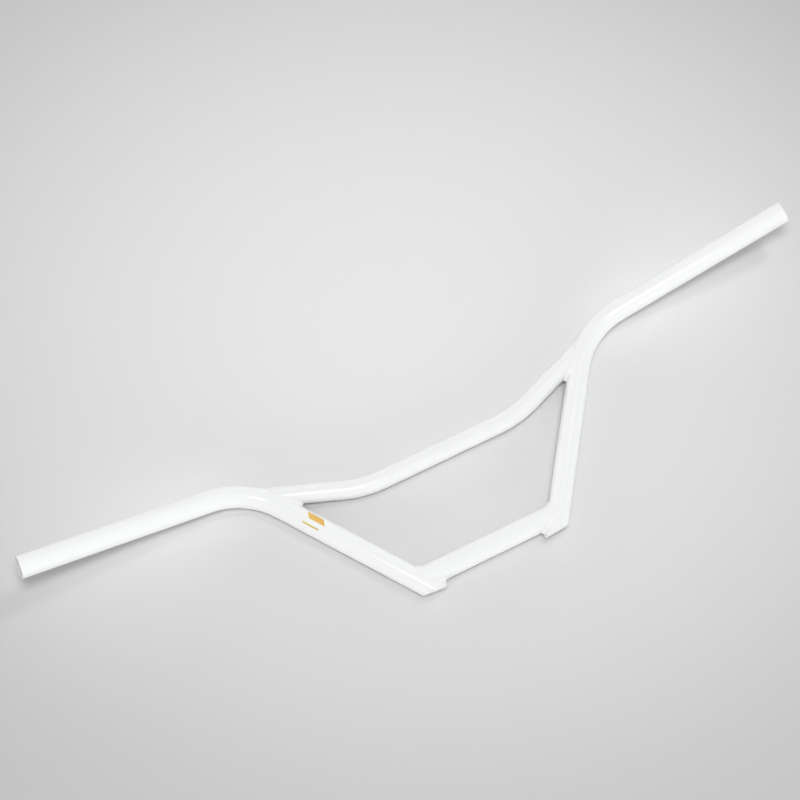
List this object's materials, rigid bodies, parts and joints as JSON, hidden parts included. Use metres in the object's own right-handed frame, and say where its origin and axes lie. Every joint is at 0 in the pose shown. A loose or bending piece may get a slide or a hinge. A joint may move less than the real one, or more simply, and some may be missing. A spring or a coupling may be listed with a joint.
{
  "type": "bmx handlebar",
  "caption": "Welded steel BMX handlebar: straight clamp tube, slanted legs, swept-back grips and a bent crossbar, in gloss white paint.",
  "frame": {"origin": "middle of the clamp tube, on its centre line", "axes": "+X along the clamp tube to the right-hand grip seen from above; +Y up the legs to the crossbar and grips; +Z toward the rider, which is up as the bar lies"},
  "size_m": [0.8362, 0.1949, 0.0866],
  "materials": {
    "white_paint": "gloss"
  },
  "bodies": {
    "root": {"clamp_tube": "white_paint", "left_side_tube": "white_paint", "right_side_tube": "white_paint", "crossbar": "white_paint", "left_foot_cap": "white_paint", "right_foot_cap": "white_paint", "left_clamp_weld": "white_paint", "right_clamp_weld": "white_paint", "left_crossbar_weld": "white_paint", "right_crossbar_weld": "white_paint"}
  },
  "joints": []
}
